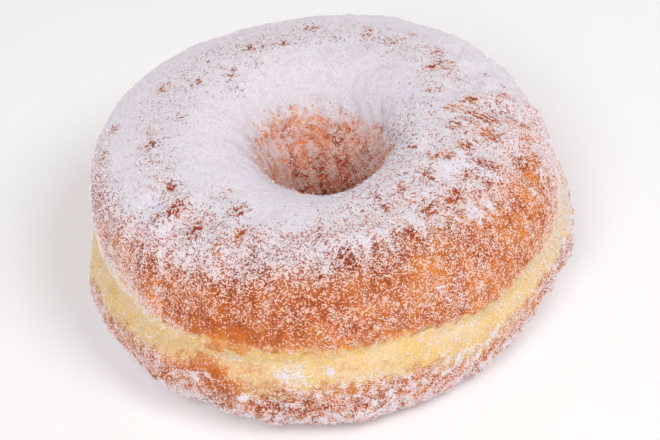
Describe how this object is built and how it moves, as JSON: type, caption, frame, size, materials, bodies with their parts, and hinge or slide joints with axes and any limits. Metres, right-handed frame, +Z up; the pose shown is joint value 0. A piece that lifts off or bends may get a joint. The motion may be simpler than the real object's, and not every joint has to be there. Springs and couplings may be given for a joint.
{
  "type": "sugar raised doughnut",
  "caption": "Ring of raised fried dough with a browned dome and underside, a pale band round its side and a dusting of sugar.",
  "frame": {"origin": "middle of the ring's length and width, on the surface that it rests on", "axes": "+Z up through the hole, -Y towards the front, +X to the right seen from the front"},
  "size_m": [0.0976, 0.0948, 0.0455],
  "materials": {
    "doughnut": "matte fried dough, browned above and below, pale round the side, dusted with sugar"
  },
  "bodies": {
    "root": {"doughnut": "doughnut"}
  },
  "joints": []
}
